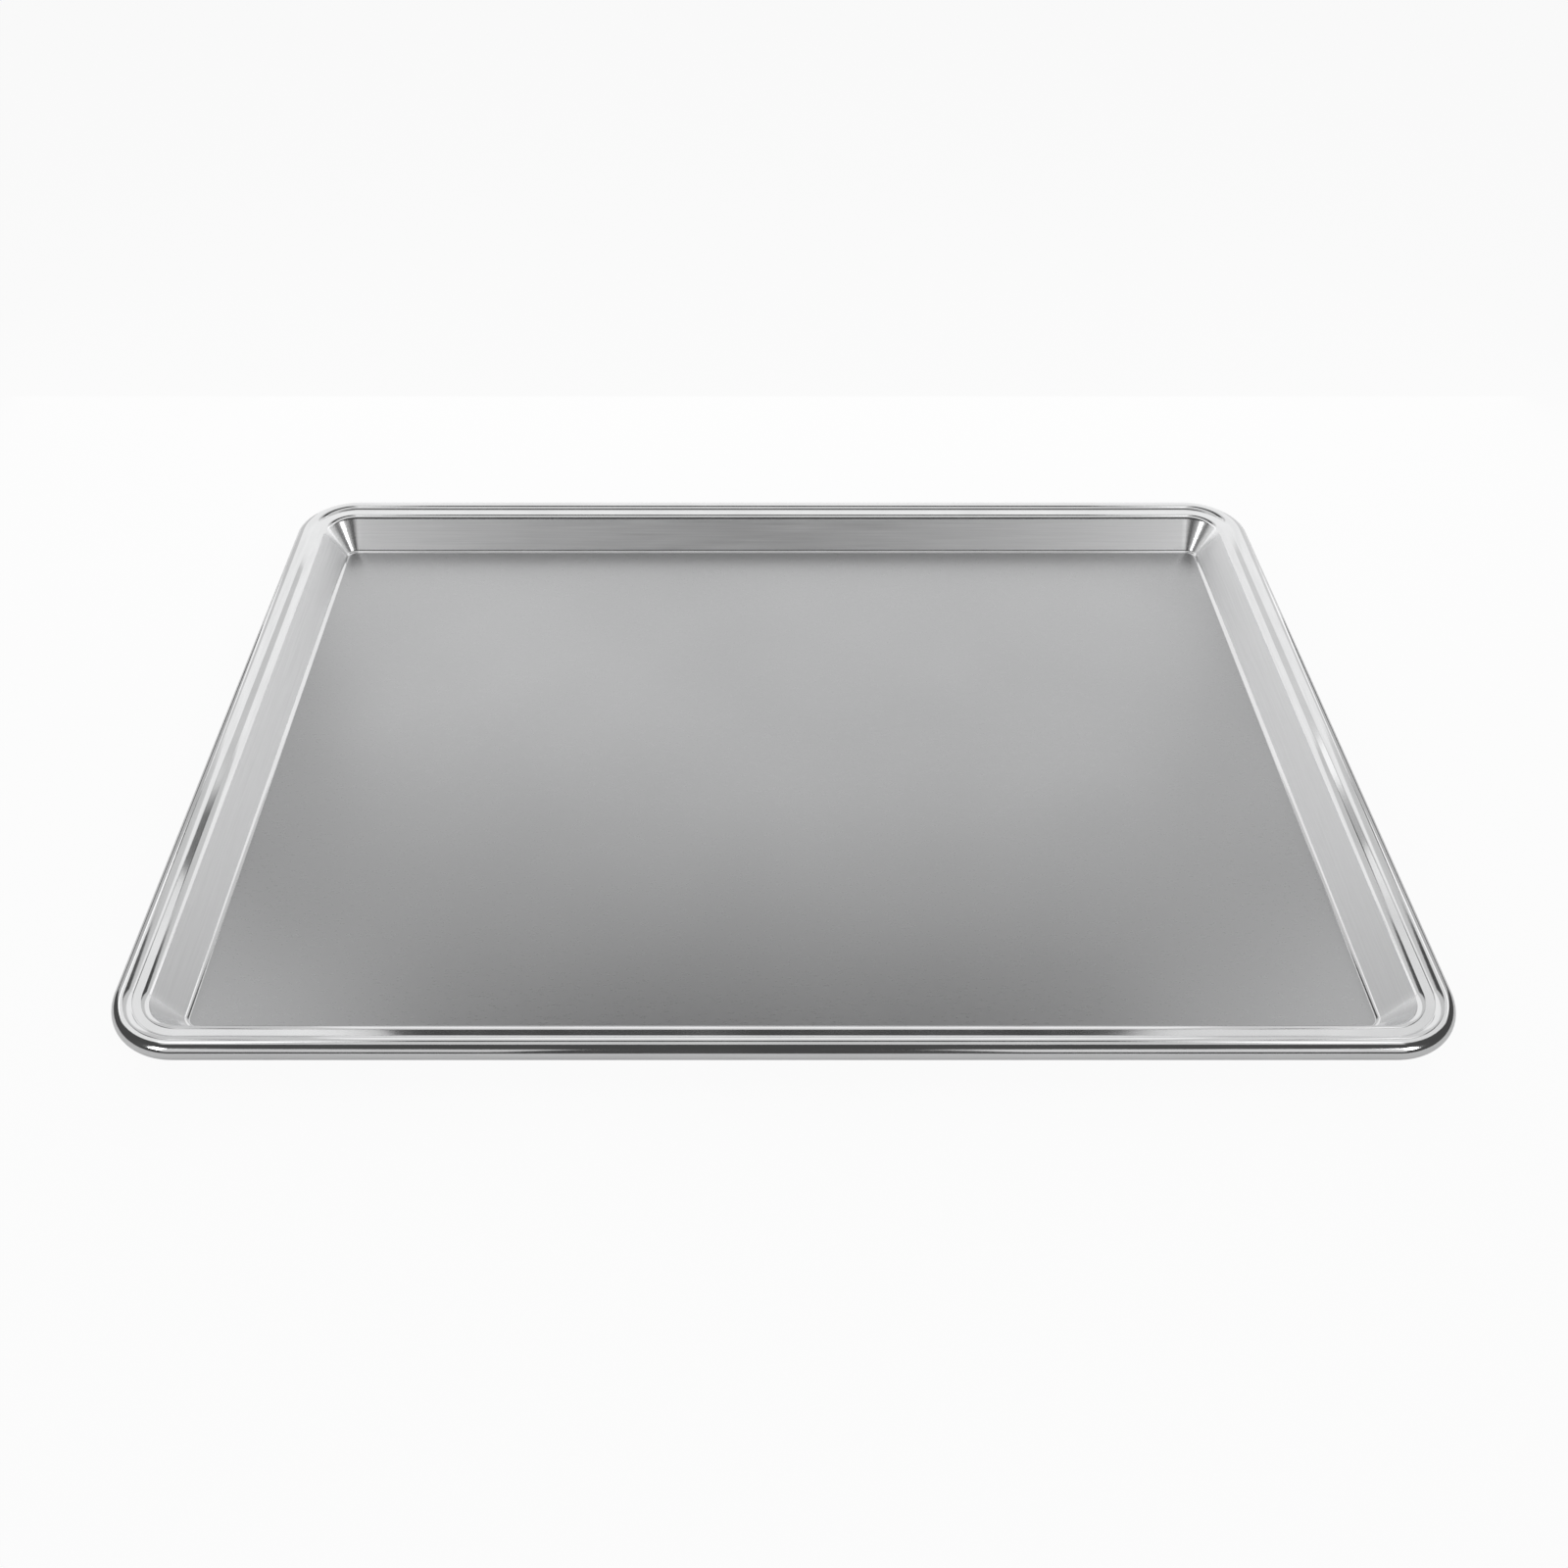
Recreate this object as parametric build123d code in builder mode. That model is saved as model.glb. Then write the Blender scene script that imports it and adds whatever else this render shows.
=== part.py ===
# Rimmed baking sheet: one pressed aluminium pan, its edge curled round a steel wire.
# Millimetres, Z up. The origin is the middle of the underside, X runs along the long side.
import os
from math import acos, degrees, radians, sin, tan

from build123d import *

# Overall size, over the outside of the rim
pan_length = 457.0
pan_width = 330.0
pan_height = 17.5

# The pressed sheet, from the floor up and out
sheet = 1.0
foot_corner_radius = 4.9  # seen from above, where floor and wall meet in the corners
floor_fillet = 1.8  # inside the pan, where the floor turns up into the wall
wall_slope = 32.5  # degrees that the wall leans out from the vertical
lip_fillet = 3.5  # where the wall rolls over into the shoulder
shoulder_flat = 2.3  # level strip between the lip and the bead

# The bead rolled along the edge of the sheet
groove_radius = 0.6  # hollow where the shoulder meets the bead
bead_rise = 1.6  # how far the top of the bead stands above the shoulder
bead_radius = 3.9
curl_turn = 265.0  # degrees that the sheet is wound round the wire

# The wire inside the bead
wire_play = 0.12  # clearance all round
wire_butt_gap = 0.8  # between the two ends of the wire

# Heights and widths of the section that follow from the sizes
shoulder_height = pan_height - bead_rise
bead_height = pan_height - bead_radius
wall_run = (shoulder_height - sheet) * tan(radians(wall_slope))
lip_run = lip_fillet * tan(radians(90 - wall_slope) / 2)

# The hollow is an arc that touches both the shoulder and the bead
groove_reach = bead_radius + groove_radius
groove_turn = acos(1 - bead_rise / groove_reach)
groove_run = groove_reach * sin(groove_turn)

# Places along the section, measured out from the upright axis of a corner
lip_offset = foot_corner_radius + wall_run
groove_offset = lip_offset + lip_run + shoulder_flat
bead_offset = groove_offset + groove_run
corner_radius = bead_offset + bead_radius
corner_x = pan_length / 2 - corner_radius
corner_y = pan_width / 2 - corner_radius


def draw_skin(depth):
    """Line of the section at a depth under the sheet's upper face. Returns its two ends."""
    corner_shift = depth * tan(radians(90 - wall_slope) / 2)
    floor_to_shoulder = FilletPolyline(
        (0, sheet - depth),
        (foot_corner_radius + corner_shift, sheet - depth),
        (lip_offset + corner_shift, shoulder_height - depth),
        (groove_offset, shoulder_height - depth),
        radius=(floor_fillet + depth, lip_fillet - depth),
    )
    groove = JernArc(floor_to_shoulder @ 1, (1, 0), groove_radius + depth, degrees(groove_turn))
    curl = JernArc(groove @ 1, groove % 1, bead_radius - depth, -curl_turn)
    return floor_to_shoulder @ 0, curl @ 1


def pan_section(plane):
    """Section of the sheet, from the corner axis out to the cut edge of the curl."""
    with BuildSketch(plane) as section:
        with BuildLine():
            upper_axis_end, upper_cut_end = draw_skin(0)
            lower_axis_end, lower_cut_end = draw_skin(sheet)
            Line(upper_axis_end, lower_axis_end)
            Line(upper_cut_end, lower_cut_end)
        make_face()
    return section.sketch


# One quarter of the pan is a corner turned about its axis, half of each side, and a quarter
# of the floor. The other three quarters are its mirror images.
corner_foot = (corner_x, corner_y, 0)
end_section = pan_section(Plane(corner_foot, x_dir=(1, 0, 0), z_dir=(0, -1, 0)))
side_section = pan_section(Plane(corner_foot, x_dir=(0, 1, 0), z_dir=(1, 0, 0)))

with BuildPart() as pressed_pan:
    revolve(end_section, axis=Axis(corner_foot, (0, 0, 1)), revolution_arc=90)
    extrude(end_section, amount=corner_y)
    extrude(side_section, amount=-corner_x)
    with BuildSketch():
        Rectangle(corner_x, corner_y, align=(Align.MIN, Align.MIN))
    extrude(amount=sheet)
    mirror(about=Plane.YZ)
    mirror(about=Plane.XZ)

# The wire follows the middle of the bead. Its ends meet halfway along the back.
wire_x = pan_length / 2 - bead_radius
wire_y = pan_width / 2 - bead_radius
wire_end_x = wire_butt_gap / 2

with BuildPart() as rim_wire:
    with BuildLine(Plane.XY.offset(bead_height)):
        wire_path = FilletPolyline(
            (wire_end_x, wire_y),
            (wire_x, wire_y),
            (wire_x, -wire_y),
            (-wire_x, -wire_y),
            (-wire_x, wire_y),
            (-wire_end_x, wire_y),
            radius=bead_offset,
        )
    with BuildSketch(Plane(wire_path @ 0, z_dir=wire_path % 0)):
        Circle(bead_radius - sheet - wire_play)
    sweep()

pressed_pan.part.label = "pressed_pan"
rim_wire.part.label = "rim_wire"

os.makedirs("parts", exist_ok=True)
for piece in (pressed_pan, rim_wire):
    export_step(piece.part, f"parts/{piece.part.label}.step")
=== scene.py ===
import math

import bpy
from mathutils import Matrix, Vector


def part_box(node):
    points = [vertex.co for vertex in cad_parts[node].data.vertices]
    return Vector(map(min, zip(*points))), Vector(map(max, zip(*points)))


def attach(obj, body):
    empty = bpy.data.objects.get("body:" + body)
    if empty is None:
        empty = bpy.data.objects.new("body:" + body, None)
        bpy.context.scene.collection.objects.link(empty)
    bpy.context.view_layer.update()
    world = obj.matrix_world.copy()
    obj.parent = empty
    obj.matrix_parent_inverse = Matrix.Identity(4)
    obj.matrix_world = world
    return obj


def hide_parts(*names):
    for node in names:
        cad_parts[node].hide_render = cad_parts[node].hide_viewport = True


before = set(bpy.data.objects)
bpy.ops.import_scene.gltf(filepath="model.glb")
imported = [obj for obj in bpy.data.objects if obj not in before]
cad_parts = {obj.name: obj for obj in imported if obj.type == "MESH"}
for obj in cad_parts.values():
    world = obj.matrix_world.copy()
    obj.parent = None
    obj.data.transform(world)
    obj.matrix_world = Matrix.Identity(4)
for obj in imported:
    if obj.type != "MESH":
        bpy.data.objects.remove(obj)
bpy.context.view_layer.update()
print("cookie sheet: frame loaded")

mm = 0.001
boxLow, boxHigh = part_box("pressed_pan")


# Camera
# Found from the outline and the floor crease in the photograph, whose frame is 1600 pixels wide.
camera = {
    "place": (-13.1 * mm, -445.0 * mm, 405.3 * mm),
    "pitch": 43.65,  # degrees below the horizon
    "focalPixels": 1466.0,
    "centrePixel": 760.0,  # column of the optical axis
    "framePixels": 1600,
    "sensor": 36.0,
    "nearClip": 10 * mm,
}


def placeCamera():
    data = bpy.data.cameras.new("camera")
    data.sensor_width = camera["sensor"]
    data.lens = camera["focalPixels"] * camera["sensor"] / camera["framePixels"]
    data.shift_x = 0.5 - camera["centrePixel"] / camera["framePixels"]
    data.clip_start = camera["nearClip"]
    body = bpy.data.objects.new("camera", data)
    body.location = camera["place"]
    body.rotation_euler = (math.radians(90 - camera["pitch"]), 0, 0)
    bpy.context.collection.objects.link(body)
    bpy.context.scene.camera = body


placeCamera()
print("cookie sheet: camera placed")


# Node helpers
# Adds a node, sets its plain properties, and links or fills its inputs.
def addNode(tree, kind, inputs=None, **settings):
    node = tree.nodes.new(kind)
    for name, value in settings.items():
        setattr(node, name, value)
    for name, value in (inputs or {}).items():
        if isinstance(value, bpy.types.NodeSocket):
            tree.links.new(value, node.inputs[name])
        else:
            node.inputs[name].default_value = value
    return node


def newMetal(name, roughness):
    metal = bpy.data.materials.new(name)
    metal.use_nodes = True
    shader = metal.node_tree.nodes["Principled BSDF"]
    shader.inputs["Metallic"].default_value = 1.0
    shader.inputs["Roughness"].default_value = roughness
    return metal, metal.node_tree, shader


# Noise read in the metal's own place, with its own scale along each axis.
def addGrain(tree, scale, detail):
    place = addNode(tree, "ShaderNodeTexCoord")
    stretch = addNode(tree, "ShaderNodeMapping", {"Vector": place.outputs["Object"], "Scale": scale})
    grain = addNode(tree, "ShaderNodeTexNoise", {
        "Vector": stretch.outputs["Vector"], "Scale": 1.0, "Detail": detail})
    return grain.outputs["Fac"]


# Stretches the part of a value from start to end over low to high. Noise mostly lies in 0.3 to 0.7.
def spread(tree, value, low, high, start=0.3, end=0.7):
    span = addNode(tree, "ShaderNodeMapRange", {
        "Value": value, "From Min": start, "From Max": end, "To Min": low, "To Max": high})
    return span.outputs["Result"]


def addTone(tree, shader, value, dark, pale):
    tone = addNode(tree, "ShaderNodeMix", {"Factor": value}, data_type="RGBA")
    tone.inputs["A"].default_value = (*dark, 1)
    tone.inputs["B"].default_value = (*pale, 1)
    tree.links.new(tone.outputs["Result"], shader.inputs["Base Color"])


bumpDepth = 0.02 * mm


def addBump(tree, shader, height, strength):
    bump = addNode(tree, "ShaderNodeBump", {"Height": height, "Strength": strength, "Distance": bumpDepth})
    tree.links.new(bump.outputs["Normal"], shader.inputs["Normal"])


# Satin metal of the floor
satin = {
    "dark": (0.442, 0.444, 0.448),
    "pale": (0.486, 0.488, 0.492),
    "roughness": (0.27, 0.33),
    "cloudScale": (7, 7, 7),
    "cloudDetail": 2,
    "grainScale": (400, 2600, 2600),
    "grainDetail": 3,
    "pitScale": (2200, 2200, 2200),
    "pitDetail": 2,
    "bump": 0.12,
}


def makeSatin():
    metal, tree, shader = newMetal("satin floor", satin["roughness"][0])
    clouds = addGrain(tree, satin["cloudScale"], satin["cloudDetail"])
    grain = addGrain(tree, satin["grainScale"], satin["grainDetail"])
    pits = addGrain(tree, satin["pitScale"], satin["pitDetail"])
    addTone(tree, shader, spread(tree, clouds, 0, 1), satin["dark"], satin["pale"])
    tree.links.new(spread(tree, grain, *satin["roughness"]), shader.inputs["Roughness"])
    addBump(tree, shader, pits, satin["bump"])
    return metal


# Brushed metal of the side walls: fine lines that run round the pan at one height
brushed = {
    "dark": (0.77, 0.772, 0.776),
    "pale": (0.84, 0.842, 0.846),
    "roughness": (0.44, 0.54),
    "cornerRoughness": 0.26,  # the drawn corners stay bright
    "cornerStart": (200.5 * mm, 137.0 * mm),  # where the straight walls end, along X and Y
    "cornerFade": 3.0 * mm,
    "stretch": 0.5,  # how much wider the gloss spreads up the wall than along its lines
    "lineScale": (28, 28, 1500),
    "lineDetail": 3,
    "hairScale": (90, 90, 6000),
    "hairDetail": 2,
    "bump": 0.15,
}


# The direction in the surface that is square to level lines.
def upTheWall(tree):
    surface = addNode(tree, "ShaderNodeNewGeometry")
    along = addNode(tree, "ShaderNodeVectorMath", {
        0: surface.outputs["Normal"], 1: (0, 0, 1)}, operation="CROSS_PRODUCT")
    up = addNode(tree, "ShaderNodeVectorMath", {
        0: along.outputs["Vector"], 1: surface.outputs["Normal"]}, operation="CROSS_PRODUCT")
    return up.outputs["Vector"]


# 1 in the corners of the pan and 0 along its straight sides.
def cornerMask(tree):
    place = addNode(tree, "ShaderNodeTexCoord")
    axes = addNode(tree, "ShaderNodeSeparateXYZ", {"Vector": place.outputs["Object"]})
    past = []
    for axis, start in zip("XY", brushed["cornerStart"]):
        far = addNode(tree, "ShaderNodeMath", {0: axes.outputs[axis]}, operation="ABSOLUTE")
        past.append(spread(tree, far.outputs["Value"], 0, 1, start, start + brushed["cornerFade"]))
    corner = addNode(tree, "ShaderNodeMath", {0: past[0], 1: past[1]}, operation="MULTIPLY")
    return corner.outputs["Value"]


def makeBrushed():
    metal, tree, shader = newMetal("brushed wall", brushed["roughness"][0])
    lines = addGrain(tree, brushed["lineScale"], brushed["lineDetail"])
    hairs = addGrain(tree, brushed["hairScale"], brushed["hairDetail"])
    addTone(tree, shader, spread(tree, lines, 0, 1), brushed["dark"], brushed["pale"])
    rough = addNode(tree, "ShaderNodeMix", {"Factor": cornerMask(tree)}, data_type="FLOAT")
    tree.links.new(spread(tree, lines, *brushed["roughness"]), rough.inputs["A"])
    rough.inputs["B"].default_value = brushed["cornerRoughness"]
    tree.links.new(rough.outputs["Result"], shader.inputs["Roughness"])
    shader.inputs["Anisotropic"].default_value = brushed["stretch"]
    tree.links.new(upTheWall(tree), shader.inputs["Tangent"])
    addBump(tree, shader, hairs, brushed["bump"])
    return metal


# Polished metal of the lip, shoulder and bead
polished = {
    "dark": (0.72, 0.722, 0.726),
    "pale": (0.79, 0.792, 0.796),
    "roughness": (0.07, 0.13),
    "lineScale": (40, 40, 900),
    "lineDetail": 3,
    "bump": 0.05,
}


def makePolished():
    metal, tree, shader = newMetal("polished rim", polished["roughness"][0])
    lines = addGrain(tree, polished["lineScale"], polished["lineDetail"])
    addTone(tree, shader, spread(tree, lines, 0, 1), polished["dark"], polished["pale"])
    tree.links.new(spread(tree, lines, *polished["roughness"]), shader.inputs["Roughness"])
    addBump(tree, shader, lines, polished["bump"])
    return metal


# Drawn steel of the wire
drawn = {
    "dark": (0.36, 0.36, 0.37),
    "pale": (0.46, 0.46, 0.47),
    "roughness": (0.25, 0.40),
    "lineScale": (60, 60, 2500),
    "lineDetail": 3,
    "bump": 0.2,
}


def makeDrawn():
    metal, tree, shader = newMetal("drawn wire", drawn["roughness"][0])
    lines = addGrain(tree, drawn["lineScale"], drawn["lineDetail"])
    addTone(tree, shader, spread(tree, lines, 0, 1), drawn["dark"], drawn["pale"])
    tree.links.new(spread(tree, lines, *drawn["roughness"]), shader.inputs["Roughness"])
    addBump(tree, shader, lines, drawn["bump"])
    return metal


floorMetal = makeSatin()
wallMetal = makeBrushed()
rimMetal = makePolished()
wireMetal = makeDrawn()
print("cookie sheet: metals made")


# The pressed pan
# The outside comes from the frame, the bends are the part's own.
pan = {
    "length": boxHigh[0] - boxLow[0],
    "width": boxHigh[1] - boxLow[1],
    "height": boxHigh[2] - boxLow[2],
    "sheet": 1.0 * mm,
    "footCorner": 4.9 * mm,  # crease radius in the corners, seen from above
    "floorFillet": 1.8 * mm,
    "wallSlope": 32.5,  # degrees from the vertical
    "lipFillet": 3.5 * mm,
    "shoulderFlat": 2.3 * mm,
    "grooveRadius": 0.6 * mm,
    "beadRise": 1.6 * mm,
    "beadRadius": 3.9 * mm,
    "curlTurn": 265,  # degrees
    "pathCorner": 3.0 * mm,  # the section is swept round a rounded rectangle with this corner
    "holdLine": 0.12 * mm,  # an extra line this far into a flat keeps the flat's gloss flat
    "weld": 0.006 * mm,  # points nearer than this become one
    "stepAngle": 4,  # degrees of bend to one facet of the section
    "cornerSteps": 40,
}
finishes = {"floor": 0, "wall": 1, "rim": 2, "under": 3}


# Points along an arc of the section. A negative turn runs clockwise.
def arcPoints(centreOut, centreUp, radius, start, turn):
    steps = max(2, round(abs(turn) / math.radians(pan["stepAngle"])))
    angles = [start + turn * i / steps for i in range(steps + 1)]
    return [(centreOut + radius * math.cos(a), centreUp + radius * math.sin(a)) for a in angles]


# One skin of the section, at a depth under the upper face, as (out, up, finish) points.
# The second value is the rim's corner radius.
def skinPoints(depth):
    slope = math.radians(pan["wallSlope"])
    bend = math.pi / 2 - slope
    halfBend = math.tan(bend / 2)
    shoulderUp = pan["height"] - pan["beadRise"]
    footOut = pan["footCorner"] - pan["floorFillet"] * halfBend
    wallRun = (shoulderUp - pan["sheet"]) * math.tan(slope)
    lipOut = pan["footCorner"] + wallRun + pan["lipFillet"] * halfBend
    grooveOut = lipOut + pan["shoulderFlat"]
    reach = pan["beadRadius"] + pan["grooveRadius"]
    grooveTurn = math.acos(1 - pan["beadRise"] / reach)
    beadOut = grooveOut + reach * math.sin(grooveTurn)
    hold = pan["holdLine"]
    points = [(pan["pathCorner"], pan["sheet"] - depth, finishes["floor"])]
    points.append((footOut - hold, pan["sheet"] - depth, finishes["floor"]))
    footArc = arcPoints(footOut, pan["sheet"] + pan["floorFillet"], pan["floorFillet"] + depth,
                        -math.pi / 2, bend)
    points += [(out, up, finishes["rim"]) for out, up in footArc]
    lipArc = arcPoints(lipOut, shoulderUp - pan["lipFillet"], pan["lipFillet"] - depth,
                       math.pi - slope, -bend)
    wallStart, wallEnd = footArc[-1], lipArc[0]
    wallLength = math.dist(wallStart, wallEnd)
    for share in (hold / wallLength, 1 - hold / wallLength):
        out = wallStart[0] + (wallEnd[0] - wallStart[0]) * share
        up = wallStart[1] + (wallEnd[1] - wallStart[1]) * share
        points.append((out, up, finishes["wall"]))
    points += [(out, up, finishes["rim"]) for out, up in lipArc]
    points.append((lipOut + hold, shoulderUp - depth, finishes["rim"]))
    points.append((grooveOut - hold, shoulderUp - depth, finishes["rim"]))
    grooveArc = arcPoints(grooveOut, shoulderUp + pan["grooveRadius"], pan["grooveRadius"] + depth,
                          -math.pi / 2, grooveTurn)
    curlArc = arcPoints(beadOut, pan["height"] - pan["beadRadius"], pan["beadRadius"] - depth,
                        math.pi / 2 + grooveTurn, -math.radians(pan["curlTurn"]))
    points += [(out, up, finishes["rim"]) for out, up in grooveArc[:-1] + curlArc]
    return points, beadOut + pan["beadRadius"]


# The whole section as a line mesh. A swept section lies with its X outwards and its Y down.
def drawSection():
    upper, cornerRadius = skinPoints(0)
    lower = [(out, up, finishes["under"]) for out, up, finish in skinPoints(pan["sheet"])[0]]
    points = upper + lower[::-1]
    line = bpy.data.meshes.new("section line")
    corners = [(out - pan["pathCorner"], -up, 0) for out, up, finish in points]
    line.from_pydata(corners, [(i, i + 1) for i in range(len(points) - 1)], [])
    finish = line.attributes.new("finish", "FLOAT", "POINT")
    finish.data.foreach_set("value", [finish for out, up, finish in points])
    section = bpy.data.objects.new("section line", line)
    bpy.context.collection.objects.link(section)
    return section, cornerRadius


# Sweeps the section round the rim, closes the floor above and below, and sets the metals.
def makePressTree():
    tree = bpy.data.node_groups.new("press the pan", "GeometryNodeTree")
    sockets = tree.interface
    sockets.new_socket("Section", in_out="INPUT", socket_type="NodeSocketGeometry")
    for name in ("Path Length", "Path Width", "Path Corner", "Sheet"):
        sockets.new_socket(name, in_out="INPUT", socket_type="NodeSocketFloat")
    sockets.new_socket("Corner Steps", in_out="INPUT", socket_type="NodeSocketInt")
    for name in ("Floor Metal", "Wall Metal", "Rim Metal", "Under Metal"):
        sockets.new_socket(name, in_out="INPUT", socket_type="NodeSocketMaterial")
    sockets.new_socket("Pan", in_out="OUTPUT", socket_type="NodeSocketGeometry")
    given = addNode(tree, "NodeGroupInput").outputs

    rectangle = addNode(tree, "GeometryNodeCurvePrimitiveQuadrilateral", {
        "Width": given["Path Length"], "Height": given["Path Width"]})
    rounded = addNode(tree, "GeometryNodeFilletCurve", {
        "Curve": rectangle.outputs["Curve"], "Count": given["Corner Steps"], "Radius": given["Path Corner"]},
        mode="POLY")
    path = addNode(tree, "GeometryNodeSetCurveNormal", {"Curve": rounded.outputs["Curve"]}, mode="Z_UP")
    section = addNode(tree, "GeometryNodeMeshToCurve", {"Mesh": given["Section"]})
    swept = addNode(tree, "GeometryNodeCurveToMesh", {
        "Curve": path.outputs["Curve"], "Profile Curve": section.outputs["Curve"]})
    finish = addNode(tree, "GeometryNodeInputNamedAttribute", {"Name": "finish"}, data_type="FLOAT")
    band = addNode(tree, "GeometryNodeStoreNamedAttribute", {
        "Geometry": swept.outputs["Mesh"], "Name": "metal", "Value": finish.outputs["Attribute"]},
        data_type="FLOAT", domain="FACE")

    plate = addNode(tree, "GeometryNodeFillCurve", {"Curve": path.outputs["Curve"]}, mode="NGONS")
    lift = addNode(tree, "ShaderNodeCombineXYZ", {"Z": given["Sheet"]})
    top = addNode(tree, "GeometryNodeSetPosition", {
        "Geometry": plate.outputs["Mesh"], "Offset": lift.outputs["Vector"]})
    bottom = addNode(tree, "GeometryNodeFlipFaces", {"Mesh": plate.outputs["Mesh"]})
    bottomPlate = addNode(tree, "GeometryNodeStoreNamedAttribute", {
        "Geometry": bottom.outputs["Mesh"], "Name": "metal", "Value": float(finishes["under"])},
        data_type="FLOAT", domain="FACE")

    joined = addNode(tree, "GeometryNodeJoinGeometry")
    for part in (band.outputs["Geometry"], top.outputs["Geometry"], bottomPlate.outputs["Geometry"]):
        tree.links.new(part, joined.inputs["Geometry"])
    closed = addNode(tree, "GeometryNodeMergeByDistance", {
        "Geometry": joined.outputs["Geometry"], "Distance": pan["weld"]})
    smooth = addNode(tree, "GeometryNodeSetShadeSmooth", {"Geometry": closed.outputs["Geometry"]})
    whole = addNode(tree, "GeometryNodeRealizeInstances", {"Geometry": smooth.outputs["Geometry"]})
    stage = whole.outputs["Geometry"]
    metal = addNode(tree, "GeometryNodeInputNamedAttribute", {"Name": "metal"}, data_type="FLOAT")
    for finish, number in finishes.items():
        above = addNode(tree, "ShaderNodeMath", {
            0: metal.outputs["Attribute"], 1: number - 0.5}, operation="GREATER_THAN")
        painted = addNode(tree, "GeometryNodeSetMaterial", {
            "Geometry": stage, "Selection": above.outputs["Value"],
            "Material": given[finish.title() + " Metal"]})
        stage = painted.outputs["Geometry"]
    finished = addNode(tree, "NodeGroupOutput")
    tree.links.new(stage, finished.inputs["Pan"])
    return tree


def pressPan():
    section, cornerRadius = drawSection()
    inset = cornerRadius - pan["pathCorner"]
    press = section.modifiers.new("press", "NODES")
    press.node_group = makePressTree()
    values = {
        "Path Length": pan["length"] - 2 * inset,
        "Path Width": pan["width"] - 2 * inset,
        "Path Corner": pan["pathCorner"],
        "Sheet": pan["sheet"],
        "Corner Steps": pan["cornerSteps"],
        "Floor Metal": floorMetal,
        "Wall Metal": wallMetal,
        "Rim Metal": rimMetal,
        "Under Metal": floorMetal,
    }
    for item in press.node_group.interface.items_tree:
        if item.name in values:
            press[item.identifier] = values[item.name]
    pressed = section.evaluated_get(bpy.context.evaluated_depsgraph_get())
    mesh = bpy.data.meshes.new_from_object(pressed)
    mesh.materials.pop(index=0)  # the section line's own slot, which is empty
    bpy.data.objects.remove(section)
    skin = bpy.data.objects.new("pan_skin", mesh)
    bpy.context.collection.objects.link(skin)
    return skin


panSkin = pressPan()
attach(panSkin, "root")
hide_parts("pressed_pan")
print("cookie sheet: pan pressed,", len(panSkin.data.polygons), "faces")


# The wire in the bead keeps its own solid
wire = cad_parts["rim_wire"]
wire.data.materials.clear()
wire.data.materials.append(wireMetal)


# Studio floor
# Pale paper. Its colour takes the lamps' light and the pan's shadow. Its own white lights nothing
# dull, it is only seen by the camera and in the metal.
paper = {
    "size": 6.0,
    "tone": (0.90, 0.90, 0.90),
    "cameraWhite": 0.94,  # share of plain white in what the camera sees
    "metalWhite": 0.20,  # and in what the metal mirrors
}


def makePaper():
    sheet = bpy.data.materials.new("pale paper")
    sheet.use_nodes = True
    tree = sheet.node_tree
    lit = tree.nodes["Principled BSDF"]
    lit.inputs["Base Color"].default_value = (*paper["tone"], 1)
    lit.inputs["Roughness"].default_value = 1.0
    white = addNode(tree, "ShaderNodeEmission", {"Color": (1, 1, 1, 1), "Strength": 1.0})
    path = addNode(tree, "ShaderNodeLightPath")
    gloss = addNode(tree, "ShaderNodeMath", {
        0: path.outputs["Is Glossy Ray"], 1: path.outputs["Is Transmission Ray"]}, operation="MAXIMUM")
    mirrored = addNode(tree, "ShaderNodeMath", {
        0: gloss.outputs["Value"], 1: paper["metalWhite"]}, operation="MULTIPLY")
    share = addNode(tree, "ShaderNodeMath", {
        0: path.outputs["Is Camera Ray"], 1: paper["cameraWhite"], 2: mirrored.outputs["Value"]},
        operation="MULTIPLY_ADD")
    mixed = addNode(tree, "ShaderNodeMixShader", {
        0: share.outputs["Value"], 1: lit.outputs["BSDF"], 2: white.outputs["Emission"]})
    tree.links.new(mixed.outputs["Shader"], tree.nodes["Material Output"].inputs["Surface"])
    return sheet


def layFloor():
    half = paper["size"] / 2
    mesh = bpy.data.meshes.new("studio floor")
    corners = [(-half, -half, 0), (half, -half, 0), (half, half, 0), (-half, half, 0)]
    mesh.from_pydata(corners, [], [(0, 1, 2, 3)])
    floor = bpy.data.objects.new("studio_floor", mesh)
    bpy.context.collection.objects.link(floor)
    floor.data.materials.append(makePaper())


layFloor()
print("cookie sheet: floor laid")


# Soft lamps
# Each is a flat rectangle that faces a point. The level is its brightness, where 1 is white.
middleLamps = {
    "back sheet": {"place": (0, 0.30, 0.17), "facing": (0, 0, 0.17), "size": (0.58, 0.34), "level": 0.96},
    "upper sheet": {"place": (0, 0.30, 0.45), "facing": (0, 0, 0.45), "size": (0.76, 0.22), "level": 0.62},
    "overhead": {"place": (0, -0.02, 0.62), "facing": (0, -0.02, 0), "size": (1.00, 0.32), "level": 0.66},
}

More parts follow.
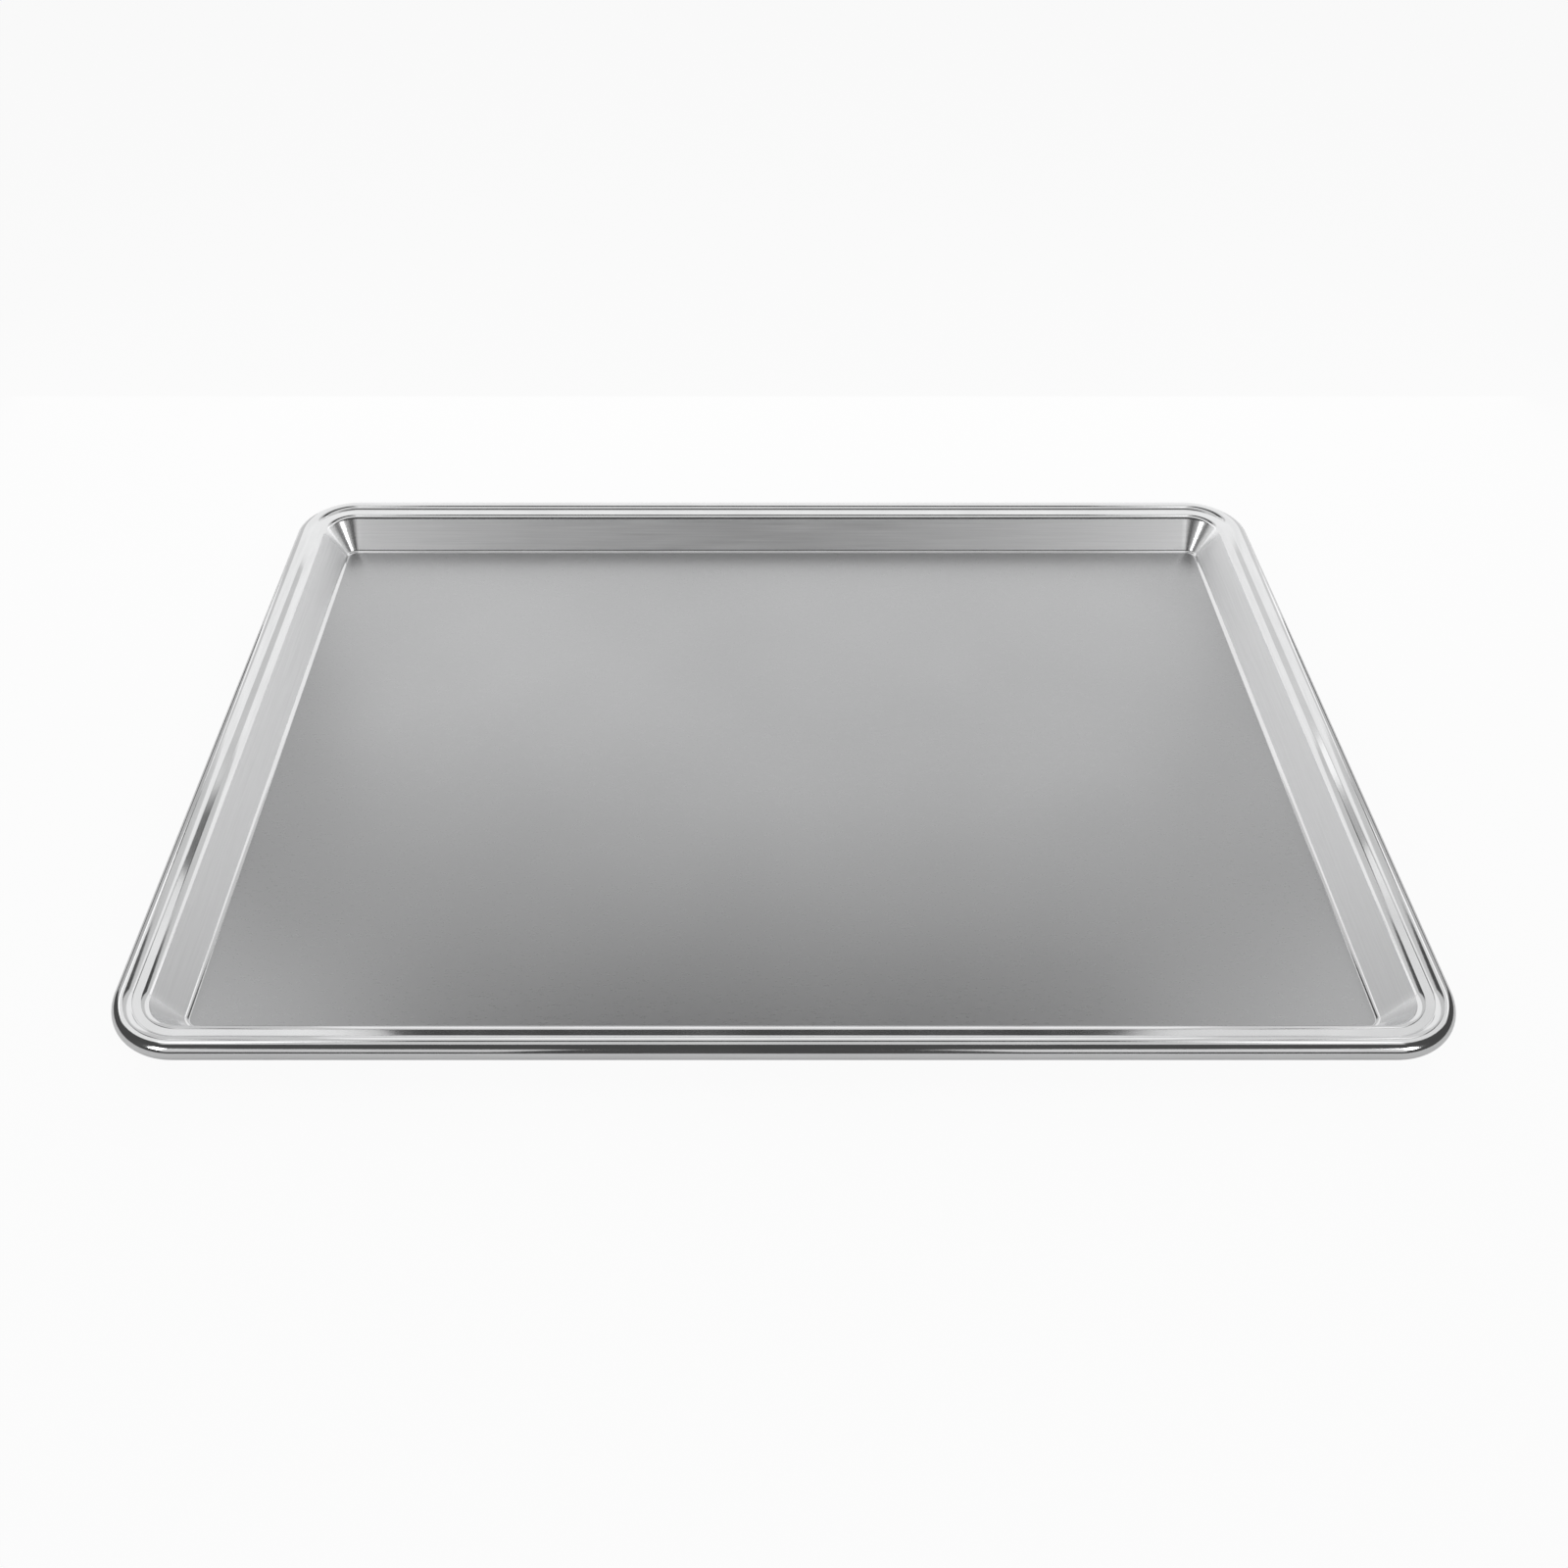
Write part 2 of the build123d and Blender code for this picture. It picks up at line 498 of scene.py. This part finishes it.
# Each of these hangs on the right, and its mirror image on the left. The levels are left, then right.
sideLamps = {
    "sheet": {
        "place": (0.36, 0.30, 0.17), "facing": (0.36, 0, 0.17), "size": (0.14, 0.34), "levels": (0.62, 0.70)},
    "wing": {
        "place": (0.52, 0.26, 0.26), "facing": (0, 0, 0.22), "size": (0.32, 0.36), "levels": (0.48, 0.50)},
    "top": {
        "place": (0.48, 0.16, 0.52), "facing": (0, 0, 0), "size": (0.36, 0.36), "levels": (0.90, 0.80)},
    "front": {
        "place": (1.00, -1.00, 0.80), "facing": (0, 0, 0), "size": (0.32, 0.46), "levels": (8.0, 8.0)},
    "fill": {
        "place": (0.55, -1.20, 0.60), "facing": (0, 0, 0), "size": (0.60, 0.60), "levels": (0.60, 0.70)},
}


def hangLamp(name, place, facing, size, level):
    wide, tall = size
    light = bpy.data.lights.new(name, "AREA")
    light.shape = "RECTANGLE"
    light.size, light.size_y = wide, tall
    light.energy = level * math.pi * wide * tall
    body = bpy.data.objects.new(name, light)
    body.location = place
    body.rotation_euler = (Vector(facing) - Vector(place)).to_track_quat("-Z", "Y").to_euler()
    bpy.context.collection.objects.link(body)


def hangLamps():
    for name, lamp in middleLamps.items():
        hangLamp(name, lamp["place"], lamp["facing"], lamp["size"], lamp["level"])
    for name, lamp in sideLamps.items():
        for side, turn, level in zip(("left", "right"), (-1, 1), lamp["levels"]):
            place, facing = [(turn * x, y, z) for x, y, z in (lamp["place"], lamp["facing"])]
            hangLamp(side + " " + name, place, facing, lamp["size"], level)


hangLamps()
print("cookie sheet: lamps hung")


# Dim room
room = {
    "level": 0.08,  # what lights the metal. The camera sees plain white.
}


def makeRoom():
    world = bpy.data.worlds.new("room")
    world.use_nodes = True
    tree = world.node_tree
    dim = tree.nodes["Background"]
    dim.inputs["Color"].default_value = (1, 1, 1, 1)
    path = addNode(tree, "ShaderNodeLightPath")
    strength = addNode(tree, "ShaderNodeMapRange", {
        "Value": path.outputs["Is Camera Ray"], "To Min": room["level"], "To Max": 1.0})
    tree.links.new(strength.outputs["Result"], dim.inputs["Strength"])
    bpy.context.scene.world = world


makeRoom()
bpy.context.scene.view_settings.view_transform = "Standard"
